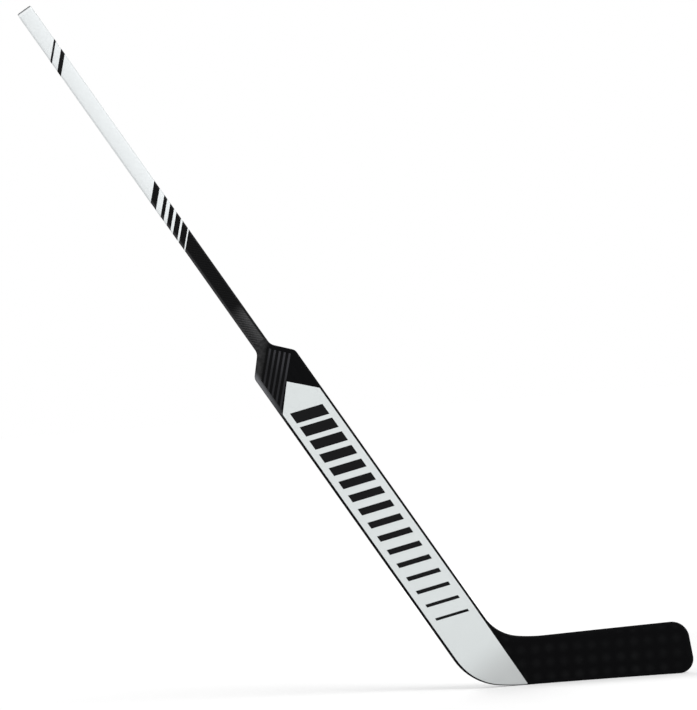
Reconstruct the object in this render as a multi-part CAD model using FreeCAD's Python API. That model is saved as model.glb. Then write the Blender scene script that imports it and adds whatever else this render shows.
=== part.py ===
import FreeCAD
import Part
import math
import os

from FreeCAD import Vector

# A composite ice hockey goalie stick, upright as it is played, with its sole on the ice.
# X runs along the sole to the toe, Z is up, and the front face looks along -Y.
# The origin is where the flat of the sole starts at the heel, at mid thickness.
# "Along" is a distance up the paddle's axis from the sharp heel corner, and "across" is
# a distance from the paddle's outer edge, on the heel side, to its inner edge.
# Lengths are in millimetres and angles in degrees.

# Whole stick
stick_length = 1414.0  # heel corner to the end of the shaft, along the axis
lie_angle = 59.2  # paddle axis above the line of the sole
stick_thickness = 21.0  # of the shaft and the paddle alike
edge_radius = 3.2  # rounding of the shaft's corners and of every outer edge
laminate = 1.8  # wall of the shaft and of every face skin
bond_gap = 0.1  # glue line round the tenon and the plug, and under the shaft's film

# Shaft
shaft_width = 27.5
tenon_in_shaft = 70.0
tenon_in_paddle = 110.0
tenon_wall = 2.5
plug_depth = 45.0
plug_wall = 2.5
plug_flange = 7.0
plug_round = 2.5

# Paddle
paddle_width = 87.0
paddle_length = 660.0  # heel corner to the shoulder's full width
shoulder_length = 33.0
shoulder_radius = 14.0
neck_radius = 18.0
neck_length = 14.0
block_length = 95.0  # dense shoulder block, down from the shoulder
heel_block_along = 130.0  # dense heel block, up the paddle

# Blade
blade_length = 386.0  # heel corner to the sharp toe corner, along the sole
toe_height = 91.0
toe_lean = 6.5
toe_top_radius = 30.0
toe_bottom_radius = 25.0
top_rise = 1.8  # the top edge climbs to the toe
heel_radius_paddle = 101.0
heel_radius_sole = 500.0
heel_turn_paddle = 53.0
throat_radius_paddle = 74.0
throat_radius_blade = 259.0
throat_turn_paddle = 51.0
blade_thickness = 10.5
toe_thickness = 8.0
taper_start = 45.0  # from the heel corner, where the paddle starts to thin
taper_length = 110.0
curve_shift = 1.4  # how far forward the blade is bent where the taper ends
curve_angle = 1.8  # and its angle to the paddle there
curve_depth = 20.0  # how far forward it is bent at the toe
heel_block_reach = 150.0  # from the heel corner into the blade
web_height = 44.0  # of the blade's inner web above the sole
web_thickness = 2.5

# Edge rails: a full-thickness nose, with a tongue that carries the rims of the skins
rail_nose = 5.5
rail_tongue = 5.0
throat_tip = 20.0  # the blade skins stop this far short of the throat's sharp start

# White films
film = 0.25
film_rim = 4.5  # bare edge of the paddle beside its film; at the sole only the rounding is bare
chevron_drop = 36.5  # pointed upper end of the paddle's film, below the shoulder's full width
slant = 45.0  # of the chevron, the ribs and the shaft film, from the axis
wrap_length = 380.0  # film round the upper shaft, on the axis
band_gap = 16.0
band_width = 14.0

# Ribbed grips on the shoulder
rib_count = 5
rib_pitch = 8.7
rib_width = 5.2
rib_height = 1.2
rib_proud = 0.4
grip_gap = 0.6  # clear of the film's chevron
grip_margin = 2.5  # clear of the rails

# The solids that cut the pieces apart
reach = 60.0  # past the outline of what they cut


def sin(angle):
    return math.sin(math.radians(angle))


def cos(angle):
    return math.cos(math.radians(angle))


def tan(angle):
    return math.tan(math.radians(angle))


# Two tangent arcs that round one corner

def arc_legs(turn, turn_in, radius_in, radius_out):
    """Distances from a sharp corner to the ends of the line that both of its arcs touch."""
    turn_out = turn - turn_in
    span = radius_in * tan(turn_in / 2) + radius_out * tan(turn_out / 2)
    return span * sin(turn_out) / sin(turn), span * sin(turn_in) / sin(turn)


heel_up, heel_on = arc_legs(lie_angle, heel_turn_paddle, heel_radius_paddle, heel_radius_sole)
heel_x = -heel_on - heel_radius_sole * tan((lie_angle - heel_turn_paddle) / 2)
neck_start = paddle_length + shoulder_length
neck_end = neck_start + neck_length
shaft_end = stick_length - plug_flange
wrap_end = shaft_end - wrap_length
chevron_tip = paddle_length - chevron_drop
axis_across = paddle_width / 2
throat_turn = lie_angle + top_rise
blade_start = taper_start + taper_length  # from the heel corner, where the taper ends


def at(along, across):
    """A point of the stick's middle plane, from its place on the paddle."""
    return Vector(heel_x - along * cos(lie_angle) + across * sin(lie_angle), 0,
                  along * sin(lie_angle) + across * cos(lie_angle))


def along_of(point):
    return (heel_x - point.x) * cos(lie_angle) + point.z * sin(lie_angle)


stick_axis = FreeCAD.Placement(at(0, axis_across), FreeCAD.Rotation(Vector(0, 1, 0), lie_angle - 90))


# Outlines in the X-Z plane, counter-clockwise from the front

def meet(point, direction, other, other_direction):
    """Where two lines cross."""
    gap = other - point
    cross = direction.x * other_direction.z - direction.z * other_direction.x
    return point + direction * ((gap.x * other_direction.z - gap.z * other_direction.x) / cross)


toe_bottom = Vector(heel_x + blade_length, 0, 0)
toe_top = toe_bottom + Vector(-toe_height * tan(toe_lean), 0, toe_height)
top_line = Vector(cos(top_rise), 0, sin(top_rise))
up_paddle = Vector(-cos(lie_angle), 0, sin(lie_angle))
throat = meet(at(0, paddle_width), up_paddle, toe_top, top_line)
throat_up, throat_on = arc_legs(throat_turn, throat_turn_paddle, throat_radius_paddle, throat_radius_blade)
throat_start = along_of(throat) + throat_up + throat_radius_paddle * tan(throat_turn_paddle / 2)
heel_corners = [(at(heel_up, 0), heel_radius_paddle), (Vector(heel_x + heel_on, 0, 0), heel_radius_sole)]
blade_corners = heel_corners + [
    (toe_bottom, toe_bottom_radius),
    (toe_top, toe_top_radius),
    (throat + top_line * throat_on, throat_radius_blade),
    (throat + up_paddle * throat_up, throat_radius_paddle)]
neck_outer = axis_across - shaft_width / 2
neck_inner = axis_across + shaft_width / 2
stick_corners = [
    (at(neck_end, neck_outer), 0),
    (at(neck_start, neck_outer), neck_radius),
    (at(paddle_length, 0), shoulder_radius)] + blade_corners + [
    (at(paddle_length, paddle_width), shoulder_radius),
    (at(neck_start, neck_inner), neck_radius),
    (at(neck_end, neck_inner), 0)]
core_end = paddle_length - rail_tongue
core_corners = [(at(core_end, 0), 0)] + blade_corners + [(at(core_end, paddle_width), 0)]


def inset(corners, distance, end_distance):
    """The corners moved in by a distance, with the closing line at the top moved by its own."""
    points = [point for point, radius in corners]
    lines = []
    for start, end in zip(points, points[1:] + points[:1]):
        direction = (end - start).normalize()
        moved = end_distance if end is points[0] else distance
        lines.append((start + Vector(-direction.z, 0, direction.x) * moved, direction))
    result = []
    for i, (point, radius) in enumerate(corners):
        before, after = lines[i - 1], lines[i]
        left_turn = before[1].x * after[1].z > before[1].z * after[1].x
        rounded = radius - distance if left_turn else radius + distance
        result.append((meet(*before, *after), max(rounded, 0) if radius else 0))
    return result


def rounded_wire(corners):
    """A closed wire of lines, with an arc at each corner that has a radius."""
    stretches = []
    for i, (point, radius) in enumerate(corners):
        back = (corners[i - 1][0] - point).normalize()
        on = (corners[(i + 1) % len(corners)][0] - point).normalize()
        half = back.getAngle(on) / 2
        leg = radius / math.tan(half)
        middle = (back + on).normalize() * (radius / math.sin(half) - radius)
        stretches.append([point + back * leg, point + middle, point + on * leg])
    edges = []
    for i, (start, middle, end) in enumerate(stretches):
        before = stretches[i - 1][2]
        if before.distanceToPoint(start) > 1e-6:
            edges.append(Part.makeLine(before, start))
        if start.distanceToPoint(end) > 1e-6:
            edges.append(Part.Arc(start, middle, end).toShape())
    return Part.Wire(edges)


def prism(corners):
    """An outline carried through the whole thickness."""
    depth = stick_thickness + curve_depth + reach
    face = Part.Face(rounded_wire(corners))
    face.translate(Vector(0, -depth, 0))
    return face.extrude(Vector(0, 2 * depth, 0))


far = stick_length + blade_length


def paddle_region(along_low, along_high, across_low, across_high):
    """All that lies between two distances along the paddle and two across it."""
    return prism([(at(along_high, across_low), 0), (at(along_low, across_low), 0),
                  (at(along_low, across_high), 0), (at(along_high, across_high), 0)])


def blade_region(x_low, x_high, z_low, z_high):
    """All that lies between two distances from the heel corner and two heights."""
    return prism([(Vector(heel_x + x_low, 0, z_high), 0), (Vector(heel_x + x_low, 0, z_low), 0),
                  (Vector(heel_x + x_high, 0, z_low), 0), (Vector(heel_x + x_high, 0, z_high), 0)])


# Front and back faces: flat on the paddle, two arcs that thin the heel and one along the blade

def tangent_arc(start, direction, end):
    """The arc that leaves a point in a direction and ends at another point."""
    chord = end - start
    turn = math.atan2(direction.x * chord.y - direction.y * chord.x, direction.dot(chord))
    bulge = Vector(chord.y, -chord.x, 0) * (math.tan(turn / 2) / 2)
    return Part.Arc(start, start + chord / 2 + bulge, end).toShape()


def arrival(start, direction, end):
    """The direction in which that arc reaches its end."""
    chord = (end - start).normalize()
    return chord * (2 * chord.dot(direction)) - direction


def arcs_meet(start, direction, end, end_direction):
    """Where two tangent arcs that lead from one point and direction to another meet."""
    gap = end - start
    both = gap.dot(direction + end_direction)
    spread = 2 * (1 - direction.dot(end_direction))
    leg = gap.dot(gap) / (both + math.sqrt(both * both + spread * gap.dot(gap)))
    return (start + direction * leg + end - end_direction * leg) / 2


def face_edges(side, depth):
    """The plan of the front or back face, sunk by a depth, from past the shoulder to past the toe."""
    def face_point(x, thickness, forward):
        return Vector(heel_x + x, side * (thickness / 2 - depth) - forward, 0)

    straight = Vector(1, 0, 0)
    turned = Vector(cos(curve_angle), -sin(curve_angle), 0)
    heel = face_point(taper_start, stick_thickness, 0)
    blade = face_point(blade_start, blade_thickness, curve_shift)
    toe = face_point(blade_length, toe_thickness, curve_depth)
    middle = arcs_meet(heel, straight, blade, turned)
    flat_end = Vector(at(neck_end, 0).x - reach, heel.y, 0)
    past_toe = toe + arrival(blade, turned, toe) * reach
    edges = [Part.makeLine(flat_end, heel),
             tangent_arc(heel, straight, middle),
             tangent_arc(middle, arrival(heel, straight, middle), blade),
             tangent_arc(blade, turned, toe),
             Part.makeLine(toe, past_toe)]
    return flat_end, past_toe, edges


def slab(low, high):
    """The layer between two faces, each given as its side and its depth."""
    low_start, low_end, low_edges = face_edges(*low)
    high_start, high_end, high_edges = face_edges(*high)
    ends = [Part.makeLine(low_end, high_end), Part.makeLine(high_start, low_start)]
    face = Part.Face(Part.Wire(Part.__sortEdges__(low_edges + high_edges + ends)))
    face.translate(Vector(0, 0, -reach))
    return face.extrude(Vector(0, 0, at(neck_end, paddle_width).z + 2 * reach))


FRONT = -1
BACK = 1


def one_solid(shape):
    solids = shape.Solids
    if len(solids) != 1:
        raise ValueError("expected one solid, got %d" % len(solids))
    return solids[0]


# Outer form of paddle and blade

block = one_solid(prism(stick_corners).common(slab((FRONT, 0), (BACK, 0))))


def is_outer(edge):
    """Whether an edge of the block is a corner of its outline, and not a seam or on the cut at the neck."""
    first, last = edge.FirstParameter, edge.LastParameter
    points = [edge.valueAt(first + (last - first) * share) for share in (0, 0.5, 1)]
    if all(abs(along_of(point) - neck_end) < 1e-3 for point in points):
        return False
    faces = block.ancestorsOfType(edge, Part.Face)
    normals = [face.normalAt(*face.Surface.parameter(points[1])) for face in faces]
    return abs(normals[0].dot(normals[1])) < 0.9


outer_form = block.makeFillet(edge_radius, [edge for edge in block.Edges if is_outer(edge)])


# Bars along the stick's axis

def bar(width, thickness, corner, low, high):
    """A bar of rounded rectangular section on the stick's axis, between two distances along it."""
    corners = [Vector(-width / 2, -thickness / 2, 0), Vector(width / 2, -thickness / 2, 0),
               Vector(width / 2, thickness / 2, 0), Vector(-width / 2, thickness / 2, 0)]
    block = Part.Face(Part.makePolygon(corners + corners[:1])).extrude(Vector(0, 0, high - low))
    uprights = [edge for edge in block.Edges if abs(edge.tangentAt(edge.FirstParameter).z) > 0.5]
    block = block.makeFillet(corner, uprights)
    block.translate(Vector(0, 0, low))
    return block.transformed(stick_axis.toMatrix())


def shaft_bar(sunk, low, high):
    """The shaft's section, sunk by a depth all round."""
    corner = max(edge_radius - sunk, edge_radius / 4)
    return bar(shaft_width - 2 * sunk, stick_thickness - 2 * sunk, corner, low, high)


def make_shaft_tube():
    return shaft_bar(0, neck_end, shaft_end).cut(shaft_bar(laminate, neck_end - reach, shaft_end + reach))


tenon_low = neck_end - tenon_in_paddle
tenon_high = neck_end + tenon_in_shaft


def make_shaft_tenon():
    outside = laminate + bond_gap
    return shaft_bar(outside, tenon_low, tenon_high).cut(
        shaft_bar(outside + tenon_wall, tenon_low - reach, tenon_high + reach))


def make_butt_end_plug():
    """A hollow plug in the shaft's bore, under a flange with a rounded top."""
    flange = shaft_bar(0, shaft_end, stick_length)
    rim = [edge for edge in flange.Edges
           if min(along_of(vertex.Point) for vertex in edge.Vertexes) > stick_length - 1e-3]
    flange = flange.makeFillet(plug_round, rim)
    outside = laminate + bond_gap
    stem = shaft_bar(outside, shaft_end - plug_depth, shaft_end)
    hollow = shaft_bar(outside + plug_wall, shaft_end - plug_depth - reach, shaft_end - plug_wall)
    return flange.fuse(stem.cut(hollow))


def make_shaft_film(low_line, high_line):
    """Film round the shaft between two slanted lines, each given by where it crosses the axis."""
    sides = (axis_across - reach, axis_across + reach)
    rise = reach / tan(slant)
    region = prism([(at(high_line - rise, sides[0]), 0), (at(low_line - rise, sides[0]), 0),
                    (at(low_line + rise, sides[1]), 0), (at(high_line + rise, sides[1]), 0)])
    sleeve = shaft_bar(-bond_gap - film, neck_end, shaft_end).cut(
        shaft_bar(-bond_gap, neck_end - reach, shaft_end + reach))
    return sleeve.common(region)


# Faces of paddle and blade, inside the noses of the rails

joint_across = paddle_width - rail_nose  # line where the blade's skins meet the paddle's
face_area = prism(inset(stick_corners, rail_nose, -reach))
paddle_area = face_area.common(paddle_region(-far, far, -far, joint_across))
blade_area = face_area.common(paddle_region(-far, throat_start - throat_tip, joint_across, far))
across_paddle = at(0, 1) - at(0, 0)
rib_run = up_paddle * cos(slant) + across_paddle * sin(slant)
rib_step = up_paddle * sin(slant) - across_paddle * cos(slant)


def beside_chevron(distance):
    """A point on the line that runs beside the outer side of the film's chevron."""
    return at(chevron_tip, axis_across) + rib_step * (grip_gap + distance)


def make_grip_area():
    """The slanted band across the shoulder that the ribs fill."""
    near = beside_chevron(0)
    away = beside_chevron(rib_count * rib_pitch)
    run = rib_run * paddle_length
    band = prism([(away + run, 0), (away - run, 0), (near - run, 0), (near + run, 0)])
    return prism(inset(stick_corners, rail_nose + grip_margin, -reach)).common(band)


grip_area = make_grip_area()


def make_skin(area, side):
    return block.common(area.common(slab((side, -reach), (side, laminate)))).cut(grip_area)


def make_grip(side):
    """A pad let into the skin, with half-round ribs that stand a little proud of it."""
    floor = rib_height - rib_proud
    pad = grip_area.common(slab((side, floor), (side, laminate)))
    above = grip_area.common(slab((side, -reach), (side, floor)))
    radius = (rib_width * rib_width / 4 + rib_height * rib_height) / (2 * rib_height)
    depth = Vector(0, side * (stick_thickness / 2 + rib_proud - radius), 0)
    ribs = []
    for i in range(rib_count):
        middle = beside_chevron(i * rib_pitch + rib_width / 2) + depth
        rod = Part.makeCylinder(radius, 4 * paddle_width, middle - rib_run * 2 * paddle_width, rib_run)
        ribs.append(rod.common(above))
    return pad.fuse(ribs).removeSplitter()


def make_film_area():
    """The white of a paddle face: a chevron at the top, the rails' inner lines, and the rounded heel."""
    radius_paddle = heel_radius_paddle - film_rim
    radius_sole = heel_radius_sole - edge_radius
    sole = Vector(1, 0, 0)
    foot = Vector(0, 0, edge_radius)
    heel = meet(at(0, film_rim), up_paddle, foot, sole)
    up, on = arc_legs(lie_angle, heel_turn_paddle, radius_paddle, radius_sole)
    above_heel = prism([(at(stick_length, film_rim), 0),
                        (heel + up_paddle * up, radius_paddle),
                        (heel + sole * on, radius_sole),
                        (foot + sole * blade_length, 0),
                        (at(stick_length, far), 0)])
    below_chevron = prism([(at(chevron_tip, axis_across), 0),
                           (at(chevron_tip - paddle_width / tan(slant), axis_across - paddle_width), 0),
                           (at(-far, axis_across - paddle_width), 0),
                           (at(-far, joint_across), 0),
                           (at(chevron_tip - (joint_across - axis_across) / tan(slant), joint_across), 0)])
    return above_heel.common(below_chevron)


film_area = make_film_area()


def make_paddle_film(side):
    return film_area.common(slab((side, -film), (side, 0)))


# Edges and insides of paddle and blade

core_area = prism(inset(core_corners, rail_nose + rail_tongue, 0))
core = core_area.common(slab((FRONT, laminate), (BACK, laminate)))
tenon_slot = shaft_bar(laminate, tenon_low, neck_end + reach)
block_low = core_end - block_length
shoulder_end = paddle_region(block_low, far, -far, far)
paddle_end = paddle_region(heel_block_along, far, -far, far)
web_start = heel_block_reach
web_low = web_height - web_thickness / 2
web_high = web_height + web_thickness / 2


def make_rails():
    """The edges of the outer form, round skins, core and tenon, parted at the neck and the toe."""
    insides = [area.common(slab((side, -reach), (side, laminate)))
               for area in (paddle_area, blade_area) for side in (FRONT, BACK)]
    edges = outer_form.cut(insides + [core, tenon_slot])
    web_line = Vector(0, 0, web_height)
    turn = meet(at(0, axis_across), up_paddle, web_line, Vector(1, 0, 0))
    heel_side = prism([(at(far, axis_across), 0), (at(far, -far), 0), (at(-far, -far), 0),
                       (Vector(far, 0, -far), 0), (web_line + Vector(far, 0, 0), 0), (turn, 0)])
    return {"heel_side_rail": edges.common(heel_side),
            "throat_side_rail": edges.cut(heel_side)}


pieces = make_rails()
pieces["shaft_tube"] = make_shaft_tube()
pieces["shaft_tenon"] = make_shaft_tenon()
pieces["butt_end_plug"] = make_butt_end_plug()
pieces["shaft_wrap"] = make_shaft_film(wrap_end, far)
pieces["shaft_band"] = make_shaft_film(wrap_end - band_gap - band_width, wrap_end - band_gap)
for name, side in (("front", FRONT), ("back", BACK)):
    pieces["paddle_%s_skin" % name] = make_skin(paddle_area, side)
    pieces["blade_%s_skin" % name] = make_skin(blade_area, side)
    pieces["shoulder_grip_%s" % name] = make_grip(side)
    pieces["paddle_%s_film" % name] = make_paddle_film(side)
pieces["shoulder_block"] = core.common(shoulder_end).cut(tenon_slot)
pieces["paddle_core"] = core.common(paddle_end).cut(shoulder_end)
pieces["heel_block"] = core.cut([paddle_end, blade_region(web_start, far, -far, far)])
pieces["blade_web"] = core.common(blade_region(web_start, far, web_low, web_high))
pieces["blade_core_upper"] = core.common(blade_region(web_start, far, web_high, far))
pieces["blade_core_lower"] = core.common(blade_region(web_start, far, -far, web_low))

os.makedirs("parts", exist_ok=True)
for name, shape in pieces.items():
    solid = one_solid(shape)
    solid.exportStep("parts/%s.step" % name)
    print("%s %.1f cm3 valid %s faces %d" % (name, solid.Volume / 1000, solid.isValid(), len(solid.Faces)))
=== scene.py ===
"""Finishes, prints and a white studio for a composite ice hockey goalie stick."""

import math

import bmesh
import bpy
from mathutils import Euler, Matrix, Vector


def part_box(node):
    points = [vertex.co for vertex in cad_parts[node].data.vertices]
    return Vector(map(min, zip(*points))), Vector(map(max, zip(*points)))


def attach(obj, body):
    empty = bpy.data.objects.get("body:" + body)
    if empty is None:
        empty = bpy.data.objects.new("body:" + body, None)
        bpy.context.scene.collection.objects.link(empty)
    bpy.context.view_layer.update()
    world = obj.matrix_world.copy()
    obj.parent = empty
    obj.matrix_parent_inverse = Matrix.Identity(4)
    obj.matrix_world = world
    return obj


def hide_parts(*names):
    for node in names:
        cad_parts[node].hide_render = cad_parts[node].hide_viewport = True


bl_info = {
    "name": "Goalie stick",
    "version": (1, 0, 0),
    "blender": (4, 5, 0),
    "location": "3D View > Sidebar > Goalie stick",
    "description": "Finishes, prints and a white studio for a goalie stick",
    "category": "Object",
}

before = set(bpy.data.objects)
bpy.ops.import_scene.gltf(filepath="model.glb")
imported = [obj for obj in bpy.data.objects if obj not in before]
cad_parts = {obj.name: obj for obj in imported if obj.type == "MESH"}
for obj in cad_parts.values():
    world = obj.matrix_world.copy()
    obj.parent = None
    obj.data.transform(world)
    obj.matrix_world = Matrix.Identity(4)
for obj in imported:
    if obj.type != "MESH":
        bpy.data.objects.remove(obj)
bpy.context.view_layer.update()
shaft_low, shaft_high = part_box("shaft_tube")
wrap_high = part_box("shaft_wrap")[1]
film_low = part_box("paddle_front_film")[0]

# Kinds of node that are used again and again
MATH = "ShaderNodeMath"
MIX = "ShaderNodeMix"
RANGE = "ShaderNodeMapRange"
NOISE = "ShaderNodeTexNoise"
MAPPING = "ShaderNodeMapping"
PLACE = "ShaderNodeTexCoord"
SPLIT = "ShaderNodeSeparateXYZ"
VECTOR = "ShaderNodeCombineXYZ"

# Sockets and settings of a mix of numbers, a mix of colours and a smooth range
FACTOR, FROM, TO = 0, 2, 3
FROM_COLOUR, TO_COLOUR = 6, 7
COLOUR = {"data_type": "RGBA", "out": 2}
SMOOTH = {"interpolation_type": "SMOOTHSTEP"}

# Values of a noise, or of a square's pillow, between which a pattern goes from least to most
CLOUDS = (0.3, 0.7)
PATCHES = (0.35, 0.65)
PILLOW = (0.005, 0.2)

TWILL_REPEAT, TWILL_OVER = 4, 2  # bundles: two over and two under
CHECK_REPEAT = 2  # squares: one over and one under
INK_SPREAD = 2.2  # lightest grain of the ink over its darkest
HALF = 0.5  # of a cell, where its hump is highest
SAME = 1e-6  # metres between two points that are one
NEAR = 0.001  # metres from a line for a point that counts as on it


def linear(code):
    """Linear red, green and blue of an sRGB hex colour."""
    parts = [int(code[i:i + 2], 16) / 255 for i in (0, 2, 4)]
    return tuple(part / 12.92 if part <= 0.04045 else ((part + 0.055) / 1.055) ** 2.4 for part in parts)


# Settings

def distance(name, description, default):
    return bpy.props.FloatProperty(
        name=name, description=description, default=default, subtype="DISTANCE", unit="LENGTH", precision=5)


def angle(name, description, degrees):
    return bpy.props.FloatProperty(
        name=name, description=description, default=math.radians(degrees), subtype="ANGLE", unit="ROTATION")


def share(name, description, default):
    return bpy.props.FloatProperty(
        name=name, description=description, default=default, min=0, max=1, subtype="FACTOR")


def colour(name, description, code):
    return bpy.props.FloatVectorProperty(
        name=name, description=description, default=linear(code), size=3, min=0, max=1, subtype="COLOR")


def point(name, description, default):
    return bpy.props.FloatVectorProperty(
        name=name, description=description, default=default, size=3, subtype="TRANSLATION", unit="LENGTH")


def count(name, description, default):
    return bpy.props.IntProperty(name=name, description=description, default=default, min=2)


def power(name, description, watts):
    return bpy.props.FloatProperty(name=name, description=description, default=watts, min=0, subtype="POWER")


class StickSizes(bpy.types.PropertyGroup):
    """Where the stick's own axes lie, and the section that the prints go round"""
    lie: angle("Lie", "Paddle axis above the line of the sole", 59.2)
    heel_corner: distance("Heel corner", "X of the sharp corner between heel and sole", -0.09908)
    axis_across: distance("Axis", "From the paddle's heel-side edge to its middle line", 0.0435)
    length: distance("Length", "From the heel corner to the butt end, along the stick", 1.414)
    shaft_width: distance("Shaft width", "Across the front face of the shaft", 0.0275)
    shaft_thickness: distance("Shaft thickness", "From front to back", shaft_high.y - shaft_low.y)
    rounding: distance("Rounding", "Of the shaft's corners and the paddle's edges", 0.0032)
    wrap_face: distance("Wrap", "Film on the shaft, above the bare carbon", wrap_high.y - shaft_high.y)
    film_face: distance("Film face", "Outer face of the paddle's film, from the middle plane", -film_low.y)
    ink: distance("Ink", "How far a print stands above what it is on", 0.00012)
    slant: angle("Slant", "Of the bands round the shaft, from its axis", 45)


class PaddleFilm(bpy.types.PropertyGroup):
    """How the film lies on each face of the paddle, with places along the stick from the heel corner"""
    lap: distance("Lap", "How far it laps over the throat-side rail", 0.0018)
    lap_start: distance("Lap start", "Where the lap starts, beside the sole", -0.065)
    lap_full: distance("Full lap", "Where the lap is at its full width", 0.13)
    wrap: distance("Wrap", "How far it goes round the edge at the sole", 0.0019)
    wrap_start: distance("Wrap start", "Where it starts to go round the edge, on the heel", 0.045)
    wrap_full: distance("Full wrap", "Where it goes round all the way", -0.03)
    wrap_least: share("Least wrap", "Part of the wrap that is there where it starts", 0.05)
    bare_flat: distance("Bare flat", "Flat of the rail that is bare where the wrap starts", 0.0013)
    corner_drop: distance("Corner drop", "How far its upper corners hang below a square point", 0.0038)
    sharp: angle("Sharp edge", "Turn past which two of its faces meet in a sharp edge", 30)


class StickPatterns(bpy.types.PropertyGroup):
    """Sizes of weave, grain and grit"""
    bundle: distance("Bundle", "Width of a bundle of fibres in the shaft's twill", 0.0014)
    square: distance("Square", "Width of a square in the blade's weave", 0.0245)
    streak: distance("Streak", "Width of a streak in the straight fibres", 0.0016)
    streak_shape: share("Streak shape", "Its width over its length", 0.03)
    hair: distance("Hair", "Width of a streak in the blade's flat bundles", 0.0012)
    hair_shape: share("Hair shape", "Its width over its length", 0.05)
    mottle: distance("Mottle", "Width of a patch on the dull neck", 0.006)
    ripple: distance("Ripple", "Width of a ripple in the white film", 0.012)
    cloud: distance("Cloud", "Width of a cloud in the film and the carbon", 0.055)
    cloud_shape: share("Cloud shape", "Its width over its length, in the paddle's film", 0.4)
    screen: distance("Screen", "Grain of the printed ink", 0.0015)
    grit: distance("Grit", "Grain of the moulded rubber and plastic", 0.0018)
    foam_cell: distance("Foam cell", "In the light cores", 0.0015)
    block_cell: distance("Block cell", "In the dense blocks", 0.0006)


class StickReliefs(bpy.types.PropertyGroup):
    """Depths of the reliefs"""
    twill: distance("Twill", "Humps of the shaft's bundles", 0.0002)
    fibres: distance("Fibres", "Streaks of the straight fibres", 0.00003)
    check: distance("Check", "Pillows of the blade's squares", 0.0002)
    film: distance("Film", "Ripples of the white film", 0.00002)
    crown: distance("Crown", "Rise from the edge to the middle of a white face of the shaft", 0.00189)
    ink: distance("Ink", "Grain of the ink", 0.00001)
    rubber: distance("Rubber", "Grit of the grips", 0.00006)
    plug: distance("Plug", "Grit of the plug", 0.00005)
    foam: distance("Foam", "Cells of the light cores", 0.0004)
    block: distance("Block", "Cells of the dense blocks", 0.0001)


class StickPlaces(bpy.types.PropertyGroup):
    """Where finishes, painted light and painted shade change: along the stick from the heel corner, or across
    it from the heel side
    """
    weave_start: distance("Weave start", "Along: where the coat gives way to bare weave", 0.785)
    weave_full: distance("Weave", "Along: where the weave is fully bare", 0.757)
    # Painted light: where the shaft's bare weave is painted lighter towards the throat side
    lit_start: distance("Light start", "Across: where the bare weave starts to lighten", 0.036)
    lit_full: distance("Light", "Across: where it is lightest", 0.052)
    # Painted shade: where the shaft's throat-side corner is painted black
    corner_shade_start: distance("Corner start", "Across: where the shaft's black corner starts", 0.0525)
    corner_shade_full: distance("Corner", "Across: where it is fully black", 0.0545)
    # Painted highlight: where the heel-side corner of the shaft's faces is painted lighter
    edge_light_start: distance("Rub start", "Across: where the shaft's heel side starts to be rubbed", 0.0355)
    edge_light_full: distance("Rub", "Across: where it is rubbed most", 0.0315)
    face_start: distance("Face start", "Where the rub starts, from the middle plane", 0.007)
    face_full: distance("Face", "Where the rub is full, from the middle plane", 0.0095)
    neck_start: distance("Neck start", "Along less across: where the dull neck starts beside the ribs", 0.634)
    neck_full: distance("Neck", "Along less across: where the neck is fully dull", 0.656)
    # Painted highlight: where the shoulder's heel-side edge is painted pale
    painted_edge_start: distance("Wear start", "Across: where the shoulder's worn edge starts", 0.012)
    painted_edge_full: distance("Wear", "Across: where it is worn most", 0.001)
    shoulder_start: distance("Shoulder start", "Along: where the worn edge starts", 0.55)
    shoulder_full: distance("Shoulder", "Along: where it is worn most", 0.665)
    # Painted light: where the rib tops start to be painted lighter towards the throat side
    side_light_start: distance("Handling start", "Across: where hands start to rub the ribs", 0.03)
    side_light_full: distance("Handling", "Across: where hands rub them most", 0.062)
    # Painted highlight on the rib tops and painted shade in the grooves, by depth
    rib_foot: distance("Rib foot", "Where a rib starts to lighten, below the shaft's face", 0.0006)
    rib_top: distance("Rib top", "Where a rib is lightest, above the shaft's face", 0.0003)
    # Painted shade: where the paddle's white is painted grey round the heel
    heel_shade_start: distance("Heel fade", "Along: where the paddle's white starts to fade", 0.06)
    heel_shade_full: distance("Heel", "Along: where it is fully grey", -0.015)
    plug_end: distance("Plug end", "Dark part of the plug, from the butt end", 0.0025)
    plug_fade: distance("Plug fade", "Half the width of the change from white to dark", 0.001)


class StickShares(bpy.types.PropertyGroup):
    """How strongly each pattern, painted light and painted shade shows, and how rough the paddle's carbon is,
    from none to all
    """
    coated: share("Coated weave", "Bundles under the clear coat", 0.036)
    woven: share("Bare weave", "Bundles that lie over, in the bare weave", 0.3)
    woven_least: share("Least weave", "Bundles that lie under", 0.02)
    shine: share("Shine", "How unlike the bundles of the bare weave shine", 0.24)
    # Painted light on the throat side of the shaft's bare weave
    painted_light: share("Light", "On the throat side of the bare weave", 0.34)
    # Painted highlight on the heel side of the shaft
    painted_lighter: share("Rub", "On the heel side of the shaft", 0.5)
    streaks: share("Streaks", "In the straight fibres", 0.12)
    patch_least: share("Darkest patch", "On the dull neck", 0.2)
    patch_most: share("Lightest patch", "On the dull neck", 0.43)
    skin_rough: share("Skin roughness", "Of the paddle's skins", 0.2)
    rail_rough: share("Rail roughness", "Of the rails", 0.45)
    cloud_rough: share("Cloud roughness", "That a cloud adds on skins and rails", 0.1)
    check_least: share("Faintest check", "On the blade", 0.05)
    check_most: share("Clearest check", "On the blade", 0.17)
    hairs: share("Hairs", "Streaks in the colour of the blade", 0.05)
    hair_relief: share("Hair relief", "Streaks in the relief of the blade", 0.1)
    film_shade: share("Film shade", "Darkest part of the white films", 0.96)
    # Painted light: least painted light on the rib tops, on the heel side
    painted_side_light: share("Least handling", "Rub on the heel side of the ribs", 0.45)
    cell_wall: share("Cell wall", "Darkest part of the foam", 0.6)


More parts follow.
